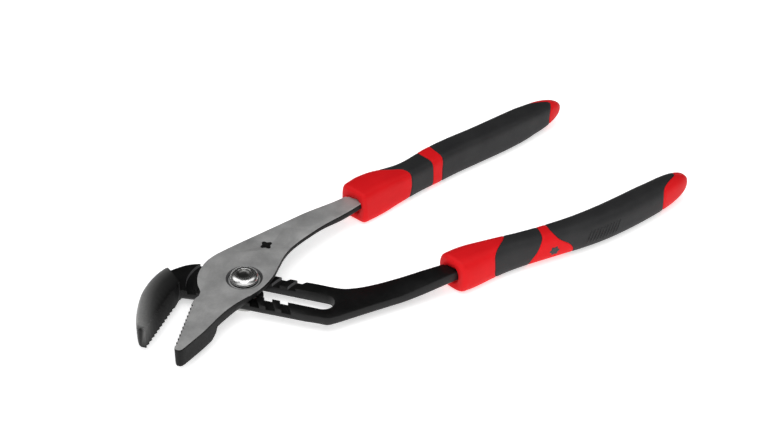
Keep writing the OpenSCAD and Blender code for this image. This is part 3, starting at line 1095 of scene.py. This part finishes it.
def add_ribs(obj, grip):
    """Short slanting ribs moulded on the near side."""
    bm = bmesh.new()
    bm.from_mesh(obj.data)
    for i in range(RIBS):
        rings = []
        for k in range(RIB_STEPS + 1):
            t = k / RIB_STEPS
            turn = math.radians(158 + 44 * t)
            x = RIB_FIRST + RIB_PITCH * i + RIB_SLANT * t
            rise = RIB_H * math.sin(math.pi * min(max(t, 0.04), 0.96)) ** 0.4
            section = [(-1, RIB_ROOT), (-0.7, rise * 0.8), (0, rise), (0.7, rise * 0.8), (1, RIB_ROOT)]
            rings.append([grip.point(x + RIB_HALF * side, turn, -proud) for side, proud in section])
        rings_to_bmesh(rings, bm)
    bmesh.ops.recalc_face_normals(bm, faces=bm.faces)
    bm.to_mesh(obj.data)
    bm.free()
    for face in obj.data.polygons:
        face.use_smooth = True


UPPER = Grip(UPPER_GRIP, 180, 197, 2.2, 5.0)
LOWER = Grip(LOWER_GRIP, 186, 206, 2.6, 3.0)
UPPER_EDGES = [
    boundary({0: 88, 45: 89, 66: 92.5, 74: 95.5, 81: 97.8, 90: 99, 108: 100, 127: 100.6, 144: 100.8,
              180: 101, 216: 100, 270: 99, 300: 94, 330: 89}),
    boundary({0: 112, 75: 112.9, 88: 113.1, 115: 113.6, 136: 114, 180: 114.3, 225: 114.2, 270: 113.2}),
    boundary({0: 121, 71: 119.8, 90: 119.9, 114: 120, 134: 120.1, 180: 119.6, 225: 119.7, 270: 120}),
    boundary({0: 179, 60: 181, 67: 184.5, 80: 189, 97: 190.8, 127: 189, 150: 187.5, 180: 187, 210: 187,
              240: 189, 270: 190, 295: 184.5, 310: 181}),
]
LOWER_EDGES = [
    boundary({0: 108.5, 65: 105.7, 95: 102.6, 121: 98.4, 137: 95.5, 150: 95, 180: 95.2, 210: 95.2,
              235: 97.5, 270: 103, 300: 106}),
    boundary({0: 123, 53: 122.1, 94: 121, 130: 119.8, 156: 117.7, 180: 116.5, 205: 113.8, 230: 113,
              270: 115, 320: 120}),
    boundary({0: 127.5, 61: 126.2, 107: 125.1, 135: 125.6, 155: 127.8, 180: 132.5, 207: 134.7, 230: 135,
              270: 133, 320: 128.5}),
    boundary({0: 199.5, 60: 199.5, 97: 197.9, 111: 192.1, 127: 187.4, 148: 186.2, 180: 186.1, 210: 186.4,
              235: 188, 270: 193, 310: 198}),
]
UPPER_FRONT = boundary({0: 69, 60: 69.6, 120: 71.2, 180: 72.4, 240: 72, 300: 70}, 6)
LOWER_FRONT = boundary({0: 75.8, 60: 76, 120: 77.2, 180: 78.2, 240: 77.8, 300: 76.4}, 6)


def lower_inlay():
    """Plain lobed inlay that follows the skin, standing slightly proud of it."""
    steps = INLAY_LOBES * 12
    rings = []
    for share, proud in INLAY_ROWS:
        ring = []
        for k in range(steps):
            t = 2 * math.pi * k / steps
            r = INLAY_R * share * (0.86 + 0.14 * math.cos(INLAY_LOBES * t))
            x, z = INLAY_AT[0] + r * math.cos(t), INLAY_AT[1] + r * math.sin(t)
            thick = LOWER.size(x)[2]
            turn = math.pi - math.asin(min(max(z / thick, -0.9), 0.9))
            ring.append((x, LOWER.point(x, turn, 0)[1] - proud, MID_Z + z))
        rings.append(ring)
    obj = to_object("lower_grip_inlay", rings_to_bmesh(rings))
    tidy(obj, 40)
    return finished(obj, "lower_half", "lower_grip_inlay", [INLAY])


def grips():
    """Core and two sleeves of each grip, with the lower grip's ribs and inlay."""
    for side, grip, front, edges in (
        ("upper", UPPER, UPPER_FRONT, UPPER_EDGES), ("lower", LOWER, LOWER_FRONT, LOWER_EDGES)
    ):
        body = side + "_half"
        core = side + "_grip_core"
        finished(grip_core(core, grip, front, edges), body, core, [RED])
        for part, (a, b) in (("front", edges[:2]), ("rear", edges[2:])):
            node = f"{side}_grip_{part}_sleeve"
            sleeve = grip_sleeve(node, grip, a, b)
            if (side, part) == ("lower", "rear"):
                add_ribs(sleeve, grip)
            finished(sleeve, body, node, [RUBBER])
    lower_inlay()


# ---------------------------------------------------------------- studio

def floor():
    """Pale flat floor just under the lowest faces."""
    bm = bmesh.new()
    bmesh.ops.create_grid(bm, x_segments=1, y_segments=1, size=FLOOR_HALF)
    ground = to_object("floor", bm)
    ground.location.z = -FLOOR_DROP
    ground.data.materials.append(pale_floor())


def sky():
    """Dark room with soft patches of white light, added up into the background's strength."""
    world = bpy.data.worlds.new("studio")
    bpy.context.scene.world = world
    world.use_nodes = True
    tree = world.node_tree
    background = next(n for n in tree.nodes if n.type == "BACKGROUND")
    background.inputs["Color"].default_value = (1, 1, 1, 1)
    direction = tree.nodes.new("ShaderNodeTexCoord").outputs["Generated"]
    total = None
    for towards, fade, light in SOFTBOXES:
        facing = tree.nodes.new("ShaderNodeVectorMath")
        facing.operation = "DOT_PRODUCT"
        facing.inputs[1].default_value = Vector(towards).normalized()
        tree.links.new(direction, facing.inputs[0])
        edge = tree.nodes.new("ShaderNodeMapRange")
        edge.interpolation_type = "SMOOTHSTEP"
        for key, value in zip(("From Min", "From Max", "To Min", "To Max"), fade + light):
            edge.inputs[key].default_value = value
        tree.links.new(facing.outputs["Value"], edge.inputs["Value"])
        if total is None:
            total = edge.outputs["Result"]
            continue
        add = tree.nodes.new("ShaderNodeMath")
        tree.links.new(total, add.inputs[0])
        tree.links.new(edge.outputs["Result"], add.inputs[1])
        total = add.outputs[0]
    tree.links.new(total, background.inputs["Strength"])


def aimed(name, data, place, target):
    """Places a lamp or camera and turns it to its target."""
    obj = bpy.data.objects.new(name, data)
    bpy.context.scene.collection.objects.link(obj)
    obj.location = place
    aim = Vector(target) - obj.location
    obj.rotation_euler = aim.to_track_quat("-Z", "Y").to_euler()
    return obj


def overhead():
    """Large square lamp over the near side."""
    light = bpy.data.lights.new("overhead", "AREA")
    light.shape = "SQUARE"
    light.size = LAMP_SIZE
    light.energy = LAMP_POWER
    aimed("overhead", light, LAMP_AT, AIM)


def camera():
    """Long lens at the angle of the reference view."""
    data = bpy.data.cameras.new("camera")
    data.lens = CAMERA_LENS
    data.sensor_width = CAMERA_SENSOR
    data.clip_start = CAMERA_CLIP
    bpy.context.scene.camera = aimed("camera", data, CAMERA_AT, CAMERA_TO)


lower_lever()
upper_lever()
pivot_bolt()
pivot_washer()
pivot_nut()
grips()
floor()
sky()
overhead()
camera()

bpy.context.scene.view_settings.view_transform = "Standard"
